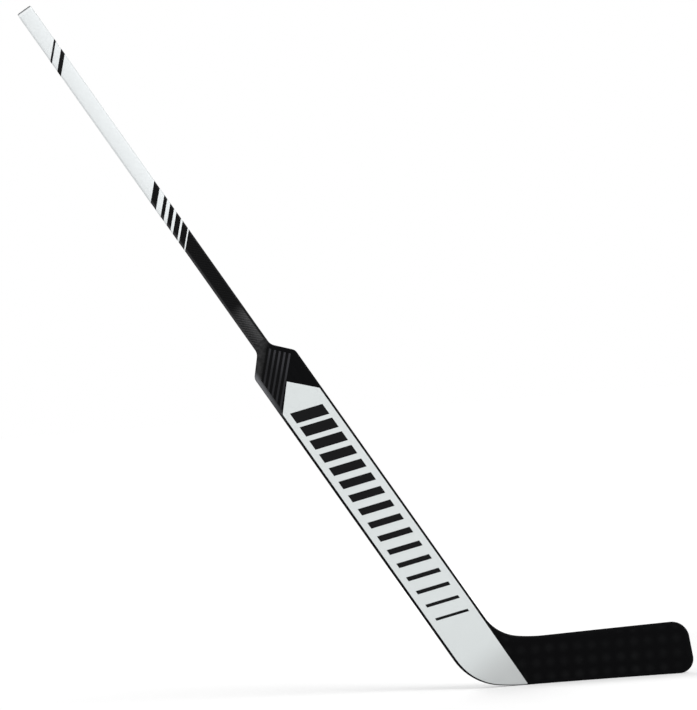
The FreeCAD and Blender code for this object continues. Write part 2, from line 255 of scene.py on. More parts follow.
class StickColours(bpy.types.PropertyGroup):
    """The colours of the finishes, with the painted highlights and painted shades on them"""
    shaft_white: colour("Shaft white", "Film round the upper shaft", "E1E5E6")
    paddle_white: colour("Paddle white", "Film on the paddle's faces", "D4D9D9")
    # Painted shade round the heel
    heel_painted_shade: colour("Heel grey", "Grey that the paddle's white fades to round the heel", "B9BCBC")
    ink: colour("Ink", "Black print on the white film", "0C0C0D")
    carbon: colour("Carbon", "Fibres that lie across the light", "070708")
    carbon_lit: colour("Lit carbon", "Fibres that catch the light", "2A2B2C")
    carbon_bare: colour("Bare carbon", "Brightest bundles of the bare weave", "4C4C4D")
    # Painted highlight on the shoulder's edge
    carbon_painted_highlight: colour("Rubbed carbon", "Shoulder's edge beside the ribs", "6E6F72")
    # Painted highlight on the rib tops and painted shade in the grooves between them
    rubber: colour("Rubber", "Tops of the ribs on the shoulder", "353538")
    rubber_painted_shade: colour("Deep rubber", "Grooves between the ribs", "050506")
    plug: colour("Plug", "Moulded end of the shaft", "E4E7E8")
    plug_end: colour("Plug end", "Its rounded end", "6E6F71")
    foam: colour("Foam", "Light cores inside", "D8CFAE")
    block: colour("Block", "Dense blocks inside", "8A8374")


class PaddleBars(bpy.types.PropertyGroup):
    """The run of bars printed on each face of the paddle, from the shoulder down"""
    bars: count("Bars", "Bars on each face", 16)
    start: distance("Start", "First bar's middle, along the paddle from the heel corner", 0.555)
    pitch: distance("Pitch", "From one bar to the next", 0.0285)
    first: distance("First bar", "Height of the first bar", 0.021)
    last: distance("Last bar", "Height of the last bar", 0.005)
    width: distance("Width", "Of every bar, across the paddle", 0.056)
    lean: angle("Lean", "Of the bars, from square across the paddle", -18.5)


class ShaftHoops(bpy.types.PropertyGroup):
    """The slanted hoops printed round the shaft: black near the top, white below the wrap"""
    top_hoops: count("Top hoops", "Hoops near the butt end", 2)
    top_start: distance("Top start", "First top hoop, along the stick", 1.296)
    top_pitch: distance("Top pitch", "From one top hoop to the next", 0.027)
    top_first: distance("First top hoop", "Its height", 0.011)
    top_last: distance("Last top hoop", "Its height", 0.005)
    low_hoops: count("Lower hoops", "Hoops between the wrap and the bare shaft", 4)
    low_start: distance("Lower start", "First lower hoop, along the stick", 0.979)
    low_pitch: distance("Lower pitch", "From one lower hoop to the next", -0.0185)
    low_first: distance("First lower hoop", "Its height", 0.009)
    low_last: distance("Last lower hoop", "Its height", 0.003)
    round_steps: count("Corner steps", "Straight steps round each corner of a hoop", 6)


class StickStudio(bpy.types.PropertyGroup):
    """Camera, lamps and background"""
    frame_height: distance("Frame height", "Of the picture, at the stick", 1.2337)
    aim: point("Aim", "Point in the middle of the picture", (-0.2707, 0, 0.5952))
    away: distance("Camera distance", "From the stick", 8)
    roll: angle("Roll", "Of the camera about its line of sight", 4.514)
    key: power("Key lamp", "Soft lamp on the upper right", 80)
    key_place: point("Key place", "Where it stands", (1.7, -2.6, 2.5))
    key_size: distance("Key size", "Its width", 1.8)
    fill: power("Fill lamp", "Soft lamp on the left", 20)
    fill_place: point("Fill place", "Where it stands", (-2.6, -2.2, 1.4))
    fill_size: distance("Fill size", "Its width", 2.4)
    back: power("Back lamp", "Soft lamp behind the stick", 60)
    back_place: point("Back place", "Where it stands", (-1.6, 2.9, 2.2))
    back_size: distance("Back size", "Its width", 2.0)
    ambient: share("Ambient", "Even light from all round", 0.5)
    floor_reach: distance("Floor reach", "From the stick to the floor's edges", 40)
    glow_start: distance("Glow start", "Where the floor starts to run into the background", 1)
    glow_full: distance("Glow", "Where it is one with the background", 4)
    glow_near: share("Near glow", "Of the floor by the stick", 0.2)
    glow_far: share("Far glow", "Of the floor far off", 0.62)
    paper: colour("Paper", "White paper that the stick stands on", "E7E7E7")
    white: colour("White", "Background", "FFFFFF")


class StickProperties(bpy.types.PropertyGroup):
    """All the settings of the goalie stick"""
    sizes: bpy.props.PointerProperty(type=StickSizes)
    film: bpy.props.PointerProperty(type=PaddleFilm)
    patterns: bpy.props.PointerProperty(type=StickPatterns)
    reliefs: bpy.props.PointerProperty(type=StickReliefs)
    places: bpy.props.PointerProperty(type=StickPlaces)
    shares: bpy.props.PointerProperty(type=StickShares)
    colours: bpy.props.PointerProperty(type=StickColours)
    bars: bpy.props.PointerProperty(type=PaddleBars)
    hoops: bpy.props.PointerProperty(type=ShaftHoops)
    studio: bpy.props.PointerProperty(type=StickStudio)


# Nodes

def add(tree, kind, inputs=(), out=0, **settings):
    """Adds a node with its settings, and fills or links its inputs.

    It gives one output, or all of them where out is None.
    """
    node = tree.nodes.new(kind)
    for name, value in settings.items():
        setattr(node, name, value)
    for key, value in inputs.items() if isinstance(inputs, dict) else enumerate(inputs):
        socket = node.inputs[key]
        for part in value if isinstance(value, list) else [value]:
            if isinstance(part, bpy.types.NodeSocket):
                tree.links.new(part, socket)
            else:
                socket.default_value = (*part, 1) if socket.type == "RGBA" else part
    return node.outputs if out is None else node.outputs[out]


def tilt(sizes):
    """How far the stick leans from upright."""
    return math.pi / 2 - sizes.lie


def along_stick(tree, sizes):
    """The stick's own coordinates in metres, as a vector and as its parts across, through and along it."""
    turn = tilt(sizes)
    place = add(tree, MAPPING, {
        "Vector": add(tree, PLACE, out="Object"),
        "Rotation": (0, turn, 0),
        "Location": (-sizes.heel_corner * math.cos(turn), 0, sizes.heel_corner * math.sin(turn))})
    return place, *add(tree, SPLIT, (place,), None)


def start_material(name):
    """A new material and its empty tree."""
    material = bpy.data.materials.new(name)
    material.use_nodes = True
    material.node_tree.nodes.clear()
    return material, material.node_tree


def finish_material(tree, inputs, height=None, depth=0.0):
    """Joins the shader to the output, with a relief of a real depth in metres."""
    if height is not None:
        inputs["Normal"] = add(tree, "ShaderNodeBump", {"Height": height, "Distance": depth})
    shader = add(tree, "ShaderNodeBsdfPrincipled", inputs)
    add(tree, "ShaderNodeOutputMaterial", {"Surface": shader}, None)


# Materials

def carbon_twill(stick):
    """Carbon twill of the shaft, laid up from flat bundles of fibre and clear coated."""
    # The eye sees black gloss under the coat. Above the shoulder it sees a dull grainy weave, with painted
    # light that lightens it towards the throat side and painted shade that turns its throat-side corner
    # black. The heel-side corner carries a painted highlight.
    # The real bundles are about 1 mm wide, and are drawn wider so that they show.
    places, shares, colours = stick.places, stick.shares, stick.colours
    material, tree = start_material("carbon_twill")
    _, across, through, along = along_stick(tree, stick.sizes)
    around = add(tree, MATH, (across, through), operation="ADD")
    column, row = (add(tree, MATH, (way, stick.patterns.bundle), operation="DIVIDE")
                   for way in (around, along))
    cells = [add(tree, MATH, (number,), operation="FLOOR") for number in (column, row)]
    step = add(tree, MATH, cells, operation="ADD")
    in_repeat = add(tree, MATH, (step, TWILL_REPEAT), operation="FLOORED_MODULO")
    over = add(tree, MATH, (in_repeat, TWILL_OVER), operation="LESS_THAN")
    humps = [add(tree, MATH, (number, HALF), operation="PINGPONG") for number in (row, column)]

    coated = add(tree, MATH, (over, shares.coated), operation="MULTIPLY")
    woven = add(tree, MATH, (over, shares.woven, shares.woven_least), operation="MULTIPLY_ADD")
    shine = add(tree, "ShaderNodeTexWhiteNoise", {"Vector": add(tree, VECTOR, cells)}, "Value",
                noise_dimensions="2D")
    uneven = add(tree, MATH, (shine, shares.shine, woven), operation="MULTIPLY_ADD")
    # Painted light: the bare weave is painted lighter towards the throat side, where the light falls on it
    painted_light = add(tree, RANGE, (across, places.lit_start, places.lit_full), **SMOOTH)
    shown = add(tree, MATH, (painted_light, shares.painted_light, uneven), operation="MULTIPLY_ADD")
    low_down = add(tree, RANGE, (along, places.weave_start, places.weave_full), **SMOOTH)
    # Painted shade: the bare weave is painted black again at the throat-side corner
    off_shaded_corner = add(tree, RANGE, (across, places.corner_shade_full, places.corner_shade_start), **SMOOTH)
    bare = add(tree, MATH, (low_down, off_shaded_corner), operation="MULTIPLY")
    tone = add(tree, MIX, {FACTOR: bare, FROM: coated, TO: shown})

    # Painted highlight: the heel-side corner of the front and back faces is painted lighter, where it catches
    # the light, along the whole shaft
    depth = add(tree, MATH, (through,), operation="ABSOLUTE")
    on_face = add(tree, RANGE, (depth, places.face_start, places.face_full), **SMOOTH)
    corner = add(tree, RANGE, (across, places.edge_light_start, places.edge_light_full, 0, shares.painted_lighter), **SMOOTH)
    painted_lighter = add(tree, MATH, (on_face, corner), operation="MULTIPLY")
    brighter = add(tree, MATH, (tone, painted_lighter), operation="MAXIMUM")
    finish_material(tree, {
        "Base Color": add(tree, MIX, {
            FACTOR: brighter, FROM_COLOUR: colours.carbon, TO_COLOUR: colours.carbon_bare}, **COLOUR),
        "Roughness": add(tree, MIX, {FACTOR: bare, FROM: 0.25, TO: 0.5}),
        "Specular IOR Level": 0.05,
    }, add(tree, MIX, {FACTOR: over, FROM: humps[0], TO: humps[1]}), stick.reliefs.twill)
    return material


def straight_carbon(name, stick, roughness):
    """Carbon of the paddle and the rails, with its fibres along the stick, moulded, with a dull neck and a
    painted highlight on the shoulder's edge.
    """
    # The eye sees black with faint long streaks, a dull mottled neck above the ribs, and below it a pale edge
    # that is a painted highlight. The streaks are far wider than a fibre, so that they show.
    patterns, places, shares, colours = stick.patterns, stick.places, stick.shares, stick.colours
    material, tree = start_material(name)
    place, across, _, along = along_stick(tree, stick.sizes)
    drawn_out = add(tree, MAPPING, {"Vector": place, "Scale": (1, 1, patterns.streak_shape)})
    fibres = add(tree, NOISE, {
        "Vector": drawn_out, "Scale": 1 / patterns.streak, "Detail": 4.0, "Roughness": 0.6}, "Fac")
    clouds = add(tree, NOISE, {"Vector": place, "Scale": 1 / patterns.cloud}, "Fac")
    faint = add(tree, MATH, (fibres, shares.streaks), operation="MULTIPLY")
    streaks = add(tree, MIX, {
        FACTOR: faint, FROM_COLOUR: colours.carbon, TO_COLOUR: colours.carbon_lit}, **COLOUR)

    mottle = add(tree, NOISE, {"Vector": place, "Scale": 1 / patterns.mottle, "Detail": 3.0}, "Fac")
    patches = add(tree, RANGE, (mottle, *PATCHES, shares.patch_least, shares.patch_most))
    dulled = add(tree, MIX, {
        FACTOR: patches, FROM_COLOUR: colours.carbon, TO_COLOUR: colours.carbon_bare}, **COLOUR)
    beside_ribs = add(tree, MATH, (along, across), operation="SUBTRACT")
    dull = add(tree, RANGE, (beside_ribs, places.neck_start, places.neck_full), **SMOOTH)
    necked = add(tree, MIX, {FACTOR: dull, FROM_COLOUR: streaks, TO_COLOUR: dulled}, **COLOUR)

    # Painted highlight: the shoulder's heel-side edge is painted pale, where it catches the light
    edge = add(tree, RANGE, (across, places.painted_edge_start, places.painted_edge_full), **SMOOTH)
    shoulder = add(tree, RANGE, (along, places.shoulder_start, places.shoulder_full), **SMOOTH)
    painted_pale = add(tree, MATH, (edge, shoulder), operation="MULTIPLY")
    finish_material(tree, {
        "Base Color": add(tree, MIX, {
            FACTOR: painted_pale, FROM_COLOUR: necked, TO_COLOUR: colours.carbon_painted_highlight}, **COLOUR),
        "Roughness": add(tree, MIX, {
            FACTOR: clouds, FROM: roughness, TO: roughness + shares.cloud_rough}),
        "Specular IOR Level": 0.02,
    }, fibres, stick.reliefs.fibres)
    return material


def carbon_spread_tow(stick):
    """Carbon of the blade, woven from bundles spread flat and wide, with a satin face."""
    # The eye sees near black with a large faint check: squares whose fibres turn by a right angle, a little
    # lighter in the middle and darker where one dips under the next.
    # The streaks are far wider than a fibre, so that they show.
    patterns, shares, colours = stick.patterns, stick.shares, stick.colours
    material, tree = start_material("carbon_spread_tow")
    place = add(tree, PLACE, out="Object")
    level, _, up = add(tree, SPLIT, (place,), None)
    column, row = (add(tree, MATH, (way, patterns.square), operation="DIVIDE") for way in (level, up))
    cells = [add(tree, MATH, (number,), operation="FLOOR") for number in (column, row)]
    cell = add(tree, MATH, cells, operation="ADD")
    over = add(tree, MATH, (cell, CHECK_REPEAT), operation="FLOORED_MODULO")
    hairs = [add(tree, NOISE, {
        "Vector": add(tree, MAPPING, {"Vector": place, "Scale": scale}),
        "Scale": 1 / patterns.hair,
        "Detail": 3.0}, "Fac") for scale in ((patterns.hair_shape, 1, 1), (1, 1, patterns.hair_shape))]
    fibres = add(tree, MIX, {FACTOR: over, FROM: hairs[0], TO: hairs[1]})
    inward = [add(tree, MATH, (number, HALF), operation="PINGPONG") for number in (column, row)]
    pillow = add(tree, MATH, inward, operation="MULTIPLY")
    clouds = add(tree, NOISE, {"Vector": place, "Scale": 1 / patterns.cloud}, "Fac")
    strength = add(tree, RANGE, (clouds, *CLOUDS, shares.check_least, shares.check_most))
    middle = add(tree, RANGE, (pillow, *PILLOW, 0, strength), **SMOOTH)
    tone = add(tree, MATH, (fibres, shares.hairs, middle), operation="MULTIPLY_ADD")
    hump = add(tree, MATH, (fibres, shares.hair_relief, pillow), operation="MULTIPLY_ADD")
    finish_material(tree, {
        "Base Color": add(tree, MIX, {
            FACTOR: tone, FROM_COLOUR: colours.carbon, TO_COLOUR: colours.carbon_lit}, **COLOUR),
        "Roughness": add(tree, MIX, {FACTOR: over, FROM: 0.38, TO: 0.5}),
        "Specular IOR Level": 0.02,
    }, hump, stick.reliefs.check)
    return material


def white_shaft_film(stick):
    """Polyester film, printed white and shrunk round the shaft."""
    # The eye sees a clean white with a soft gloss, on faces with a slight crown that shade from side to side.
    sizes, reliefs, white = stick.sizes, stick.reliefs, stick.colours.shaft_white
    material, tree = start_material("white_shaft_film")
    place, across, _, _ = along_stick(tree, sizes)
    ripple = add(tree, NOISE, {"Vector": place, "Scale": 1 / stick.patterns.ripple, "Detail": 3.0}, "Fac")
    shade = tuple(part * stick.shares.film_shade for part in white)
    offset = add(tree, MATH, (across, sizes.axis_across), operation="SUBTRACT")
    square = add(tree, MATH, (offset, offset), operation="MULTIPLY")
    fine = add(tree, MATH, (ripple, reliefs.film), operation="MULTIPLY")
    # The face falls from its middle as a parabola, by the whole crown at its edges
    fall = -reliefs.crown / (sizes.shaft_width / 2) ** 2
    metres = add(tree, MATH, (square, fall, fine), operation="MULTIPLY_ADD")
    finish_material(tree, {
        "Base Color": add(tree, MIX, {FACTOR: ripple, FROM_COLOUR: shade, TO_COLOUR: white}, **COLOUR),
        "Roughness": add(tree, MIX, {FACTOR: ripple, FROM: 0.4, TO: 0.5}),
        "Specular IOR Level": 0.4,
    }, metres, 1.0)
    return material


def white_paddle_film(stick):
    """Polyester film, printed white and pressed on the paddle's faces."""
    # The eye sees an even white with a soft gloss, faint clouds, and painted shade that fades it to grey
    # round the heel.
    patterns, places, colours = stick.patterns, stick.places, stick.colours
    material, tree = start_material("white_paddle_film")
    place, _, _, along = along_stick(tree, stick.sizes)
    drawn_out = add(tree, MAPPING, {"Vector": place, "Scale": (1, 1, patterns.cloud_shape)})
    clouds = add(tree, NOISE, {"Vector": drawn_out, "Scale": 1 / patterns.cloud}, "Fac")
    ripple = add(tree, NOISE, {"Vector": place, "Scale": 1 / patterns.ripple, "Detail": 3.0}, "Fac")
    shade = tuple(part * stick.shares.film_shade for part in colours.paddle_white)
    clouded = add(tree, MIX, {FACTOR: clouds, FROM_COLOUR: shade, TO_COLOUR: colours.paddle_white}, **COLOUR)
    # Painted shade: the white is painted grey round the heel, where the face bends away from the light
    white = add(tree, RANGE, (along, places.heel_shade_full, places.heel_shade_start), **SMOOTH)
    finish_material(tree, {
        "Base Color": add(tree, MIX, {
            FACTOR: white, FROM_COLOUR: colours.heel_painted_shade, TO_COLOUR: clouded}, **COLOUR),
        "Roughness": add(tree, MIX, {FACTOR: ripple, FROM: 0.28, TO: 0.38}),
        "Specular IOR Level": 0.4,
        "Coat Weight": 0.25,
        "Coat Roughness": 0.1,
    }, ripple, stick.reliefs.film)
    return material


def black_screen_ink(stick):
    """Ink screened on the film."""
    # The eye sees flat black with a slight gloss.
    # The mesh of the screen is finer than its grain, which is drawn coarser so that it shows.
    ink = stick.colours.ink
    material, tree = start_material("black_screen_ink")
    place = along_stick(tree, stick.sizes)[0]
    grain = add(tree, NOISE, {"Vector": place, "Scale": 1 / stick.patterns.screen}, "Fac")
    lighter = tuple(part * INK_SPREAD for part in ink)
    finish_material(tree, {
        "Base Color": add(tree, MIX, {FACTOR: grain, FROM_COLOUR: ink, TO_COLOUR: lighter}, **COLOUR),
        "Roughness": add(tree, MIX, {FACTOR: grain, FROM: 0.32, TO: 0.45}),
        "Specular IOR Level": 0.06,
    }, grain, stick.reliefs.ink)
    return material


def moulded_rubber(stick):
    """Rubber of the shoulder grips, moulded in ribs."""
    # The eye sees black ribs with painted shade in the grooves between them and a painted highlight on their
    # tops that grows towards the throat side.
    # The grit is finer in the real one, and is drawn coarser so that it shows.
    sizes, places, colours = stick.sizes, stick.places, stick.colours
    material, tree = start_material("moulded_rubber")
    place, across, through, _ = along_stick(tree, sizes)
    grit = add(tree, NOISE, {
        "Vector": place, "Scale": 1 / stick.patterns.grit, "Detail": 4.0, "Roughness": 0.7}, "Fac")
    face = sizes.shaft_thickness / 2
    depth = add(tree, MATH, (through,), operation="ABSOLUTE")
    # Painted highlight and shade: rib tops are painted lighter and grooves darker
    proud = add(tree, RANGE, (depth, face - places.rib_foot, face + places.rib_top), **SMOOTH)
    # Painted light: the rib tops are painted lighter towards the throat side, where the light falls
    painted_side_light = add(tree, RANGE, (
        across, places.side_light_start, places.side_light_full, stick.shares.painted_side_light, 1), **SMOOTH)
    painted_lighter = add(tree, MATH, (proud, painted_side_light), operation="MULTIPLY")
    finish_material(tree, {
        "Base Color": add(tree, MIX, {
            FACTOR: painted_lighter, FROM_COLOUR: colours.rubber_painted_shade, TO_COLOUR: colours.rubber}, **COLOUR),
        "Roughness": add(tree, MIX, {FACTOR: grit, FROM: 0.38, TO: 0.55}),
        "Specular IOR Level": 0.05,
    }, grit, stick.reliefs.rubber)
    return material


def moulded_abs(stick):
    """ABS of the plug, moulded in a spark-eroded tool."""
    # The eye sees satin white with a fine grit, drawn coarser so that it shows, and a dark rounded end.
    sizes, places, colours = stick.sizes, stick.places, stick.colours
    material, tree = start_material("moulded_abs")
    place, _, _, along = along_stick(tree, sizes)
    grit = add(tree, NOISE, {"Vector": place, "Scale": 1 / stick.patterns.grit}, "Fac")
    dark = sizes.length - places.plug_end
    end = add(tree, RANGE, (along, dark - places.plug_fade, dark + places.plug_fade), **SMOOTH)
    finish_material(tree, {
        "Base Color": add(tree, MIX, {
            FACTOR: end, FROM_COLOUR: colours.plug, TO_COLOUR: colours.plug_end}, **COLOUR),
        "Roughness": add(tree, MIX, {FACTOR: grit, FROM: 0.4, TO: 0.55}),
        "Specular IOR Level": 0.4,
    }, grit, stick.reliefs.plug)
    return material


def cut_foam(name, tint, wall, cell, depth):
    """Foam of the cores and blocks, cut to shape."""
    # The eye sees a dry face of closed cells with darker walls. The cells are drawn larger so that they show.
    material, tree = start_material(name)
    place = add(tree, PLACE, out="Object")
    cells = add(tree, "ShaderNodeTexVoronoi", {"Vector": place, "Scale": 1 / cell}, "Distance")
    dark = tuple(part * wall for part in tint)
    finish_material(tree, {
        "Base Color": add(tree, MIX, {FACTOR: cells, FROM_COLOUR: tint, TO_COLOUR: dark}, **COLOUR),
        "Roughness": add(tree, MIX, {FACTOR: cells, FROM: 0.8, TO: 0.95}),
        "Specular IOR Level": 0.2,
    }, cells, depth)
    return material


def seen_white(tree):
    """1 for the rays that should find the white background: seen, mirrored or through glass."""
    rays = add(tree, "ShaderNodeLightPath", out=None)
    mirrored = add(tree, MATH, (rays["Is Glossy Ray"], rays["Is Transmission Ray"]), operation="MAXIMUM")
    return add(tree, MATH, (rays["Is Camera Ray"], mirrored), operation="MAXIMUM")


def white_paper(studio):
    """Matt paper of the floor."""
    # The eye sees white that keeps a soft shadow by the stick and runs into the background far off.
    material, tree = start_material("white_paper")
    place = add(tree, PLACE, out="Object")
    far_off = add(tree, "ShaderNodeVectorMath", (place,), "Value", operation="LENGTH")
    glow = add(tree, RANGE, (
        far_off, studio.glow_start, studio.glow_full, studio.glow_near, studio.glow_far))
    finish_material(tree, {
        "Base Color": studio.paper,
        "Roughness": 1.0,
        "Specular IOR Level": 0.0,
        "Emission Color": studio.white,
        "Emission Strength": add(tree, MATH, (seen_white(tree), glow), operation="MULTIPLY")})
    return material


def dress(material, *names):
    """Gives the material to the stick's own pieces."""
    for name in names:
        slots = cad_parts[name].data.materials
        slots.clear()
        slots.append(material)


# Pieces of the scene

def settle(piece):
    """Turns what a piece's modifier makes into its plain mesh, which goes with the stick."""
    depsgraph = bpy.context.evaluated_depsgraph_get()
    mesh = bpy.data.meshes.new_from_object(piece.evaluated_get(depsgraph), depsgraph=depsgraph)
    if not mesh.polygons:
        raise RuntimeError(piece.name + " came out empty")
    piece.modifiers.clear()
    piece.data = mesh
    mesh.name = piece.name
    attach(piece, "root")


def wrap_rim(body, film, heel, upward, over, rounding):
    """Draws the film's rim at the heel and the sole out over the rounded edge."""
    # The rim's faces look sideways, and those that look to the throat side stay as they are
    sideways, throat_side = 0.5, 0.3  # parts of a face's direction
    body.normal_update()
    rim = [face for face in body.faces
           if abs(face.normal.y) < sideways and face.normal.dot(over) < throat_side
           and (face.calc_center_median() - heel).dot(upward) < film.wrap_start]
    drawn = {}
    for vert in dict.fromkeys(vert for face in rim for vert in face.verts):
        way = sum((face.normal for face in vert.link_faces if face in rim), Vector()).normalized()
        along = (vert.co - heel).dot(upward)
        part = (film.wrap_start - along) / (film.wrap_start - film.wrap_full)
        part = min(max(part, film.wrap_least), 1)
        bent = max(film.wrap * part - film.bare_flat * (1 - part), 0)
        sunk = rounding - math.sqrt(rounding ** 2 - bent ** 2)
        drawn[vert] = body.verts.new(vert.co + way * film.wrap * part)
        drawn[vert].co.y -= math.copysign(sunk, vert.co.y)
    # The rim moves out, and walls join its old border to the new one
    for face in rim:
        body.faces.new([drawn[vert] for vert in face.verts], face)
        for loop in face.loops:
            if sum(other in rim for other in loop.edge.link_faces) == 1:
                start, end = loop.vert, loop.link_loop_next.vert
                body.faces.new((start, end, drawn[end], drawn[start]), face)
    bmesh.ops.delete(body, geom=rim, context="FACES")


def lapped_film(name, node, material, stick):
    """The paddle's film as it is laid, from the plain one.

    It laps over the throat-side rail, its upper corners hang lower, and its rim at heel and sole goes
    round the edge.
    """
    sizes, film = stick.sizes, stick.film
    body = bmesh.new()
    body.from_mesh(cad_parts[node].data)
    bmesh.ops.remove_doubles(body, verts=body.verts, dist=SAME)
    turn = tilt(sizes)
    upward = Vector((-math.sin(turn), 0, math.cos(turn)))
    over = Vector((math.cos(turn), 0, math.sin(turn)))
    heel = Vector((sizes.heel_corner, 0, 0))
    bmesh.ops.bisect_plane(body, geom=[*body.verts, *body.edges, *body.faces], dist=SAME,
                           plane_co=heel + upward * film.lap_full, plane_no=upward)
    places = {vert: ((vert.co - heel).dot(upward), (vert.co - heel).dot(over)) for vert in body.verts}
    edge = max(across for along, across in places.values()) - NEAR
    for vert, (along, across) in places.items():
        if across > edge:
            part = (along - film.lap_start) / (film.lap_full - film.lap_start)
            vert.co += over * film.lap * min(part, 1)
        if along > film.lap_full + NEAR and abs(across - sizes.axis_across) > NEAR:
            vert.co -= upward * film.corner_drop
    wrap_rim(body, film, heel, upward, over, sizes.rounding)

    mesh = bpy.data.meshes.new(name)
    body.to_mesh(mesh)
    body.free()
    mesh.shade_smooth()
    mesh.set_sharp_from_angle(angle=film.sharp)
    mesh.materials.append(material)
    piece = bpy.data.objects.new(name, mesh)
    bpy.context.scene.collection.objects.link(piece)
    piece.modifiers.new(name, "WEIGHTED_NORMAL").keep_sharp = True
    settle(piece)
    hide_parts(node)


def start_print(name, sockets):
    """A tree with named inputs for a print: how many, its sizes and its ink."""
    tree = bpy.data.node_groups.new(name, "GeometryNodeTree")
    tree.interface.new_socket("Geometry", in_out="OUTPUT", socket_type="NodeSocketGeometry")
    kinds = {"Count": "Int", "Steps": "Int", "Ink": "Material"}
    for socket in (*sockets, "Count", "Start", "Pitch", "First", "Last", "Rise", "Ink"):
        tree.interface.new_socket(
            socket, in_out="INPUT", socket_type="NodeSocket" + kinds.get(socket, "Float"))
    return tree, add(tree, "NodeGroupInput", out=None)


def spread_print(tree, given, shape, sizes):
    """Repeats a shape one metre high along the stick, from the first height to the last, and slants it."""
    spots = add(tree, "GeometryNodeMeshLine", {
        "Count": given["Count"],
        "Start Location": add(tree, VECTOR, {"Z": given["Start"]}),
        "Offset": add(tree, VECTOR, {"Z": given["Pitch"]})})
    last = add(tree, MATH, (given["Count"], 1), operation="SUBTRACT")
    part = add(tree, MATH, (add(tree, "GeometryNodeInputIndex"), last), operation="DIVIDE")
    height = add(tree, MIX, {FACTOR: part, FROM: given["First"], TO: given["Last"]})
    size = add(tree, VECTOR, {"X": 1.0, "Y": 1.0, "Z": height})
    copies = add(tree, "GeometryNodeInstanceOnPoints", {"Points": spots, "Instance": shape, "Scale": size})
    real = add(tree, "GeometryNodeRealizeInstances", {"Geometry": copies})
    side = add(tree, SPLIT, (add(tree, "GeometryNodeInputPosition"),), "X")
    rise = add(tree, MATH, (side, given["Rise"]), operation="MULTIPLY")
    slanted = add(tree, "GeometryNodeSetPosition", {
        "Geometry": real, "Offset": add(tree, VECTOR, {"Z": rise})})
    turn = tilt(sizes)
    foot = (sizes.heel_corner + sizes.axis_across * math.cos(turn), 0, sizes.axis_across * math.sin(turn))
    placed = add(tree, "GeometryNodeTransform", {
        "Geometry": slanted, "Translation": foot, "Rotation": Euler((0, -turn, 0))})
    inked = add(tree, "GeometryNodeSetMaterial", {"Geometry": placed, "Material": given["Ink"]})
    add(tree, "NodeGroupOutput", {0: inked}, None)
    return tree


def bar_tree(sizes):
    """Slanted bars on one face of the paddle."""
    tree, given = start_print("paddle_bars", ("Width", "Thickness", "Face"))
    size = add(tree, VECTOR, {"X": given["Width"], "Y": given["Thickness"], "Z": 1.0})
    bar = add(tree, "GeometryNodeTransform", {
        "Geometry": add(tree, "GeometryNodeMeshCube", {"Size": size}),
        "Translation": add(tree, VECTOR, {"Y": given["Face"]})})
    return spread_print(tree, given, bar, sizes)


def hoop_tree(sizes):
    """Slanted bands round the shaft, each a closed ring of its rounded section."""
    tree, given = start_print("shaft_hoops", ("Width", "Depth", "Corner", "Steps", "Under", "Over"))
    rings = []
    for level in (given["Over"], given["Under"]):
        outline = add(tree, "GeometryNodeCurvePrimitiveQuadrilateral", {
            "Width": add(tree, MATH, (level, 2, given["Width"]), operation="MULTIPLY_ADD"),
            "Height": add(tree, MATH, (level, 2, given["Depth"]), operation="MULTIPLY_ADD")})
        radius = add(tree, MATH, (level, given["Corner"]), operation="ADD")
        rings.append(add(tree, "GeometryNodeFilletCurve", {
            "Curve": outline, "Count": given["Steps"], "Radius": radius}, mode="POLY"))
    base = add(tree, "GeometryNodeFillCurve", {"Curve": add(tree, "GeometryNodeJoinGeometry", (rings,))})
    wall = add(tree, "GeometryNodeExtrudeMesh", {"Mesh": base, "Offset": (0, 0, 1), "Individual": False})
    under = add(tree, "GeometryNodeFlipFaces", {"Mesh": base})
    closed = add(tree, "GeometryNodeMergeByDistance", {
        "Geometry": add(tree, "GeometryNodeJoinGeometry", ([wall, under],)), "Distance": SAME})
    return spread_print(tree, given, closed, sizes)


def make_print(name, tree, values):
    """Turns a print's tree into a plain mesh that goes with the stick."""
    piece = bpy.data.objects.new(name, bpy.data.meshes.new(name))
    bpy.context.scene.collection.objects.link(piece)
    modifier = piece.modifiers.new(name, "NODES")
    modifier.node_group = tree
    for item in tree.interface.items_tree:
        if item.in_out == "INPUT":
            modifier[item.identifier] = values[item.name]
    settle(piece)


def lamp(name, place, aim, size, watts):
    """A soft square lamp that looks at a point."""
    data = bpy.data.lights.new(name, "AREA")
    data.size = size
    data.energy = watts
    piece = bpy.data.objects.new(name, data)
    bpy.context.scene.collection.objects.link(piece)
    piece.location = place
    piece.rotation_euler = (aim - Vector(place)).to_track_quat("-Z", "Y").to_euler()


# Operators

class StickOperator(bpy.types.Operator):
    bl_options = {"REGISTER", "UNDO"}


class STICK_OT_shaft(StickOperator):
    """Finishes the shaft and its plug"""
    bl_idname = "stick.shaft"
    bl_label = "Finish the shaft"

    def execute(self, context):
        stick = context.scene.goalie_stick
        dress(carbon_twill(stick), "shaft_tube", "shaft_tenon")
        dress(moulded_abs(stick), "butt_end_plug")
        return {"FINISHED"}


class STICK_OT_paddle(StickOperator):
    """Finishes the paddle's skins, rails and grips"""
    bl_idname = "stick.paddle"
    bl_label = "Finish the paddle"

    def execute(self, context):
        stick = context.scene.goalie_stick
        skin = straight_carbon("carbon_skin", stick, stick.shares.skin_rough)
        rail = straight_carbon("carbon_rail", stick, stick.shares.rail_rough)
        dress(skin, "paddle_front_skin", "paddle_back_skin")
        dress(rail, "heel_side_rail", "throat_side_rail")
        dress(moulded_rubber(stick), "shoulder_grip_front", "shoulder_grip_back")
        return {"FINISHED"}


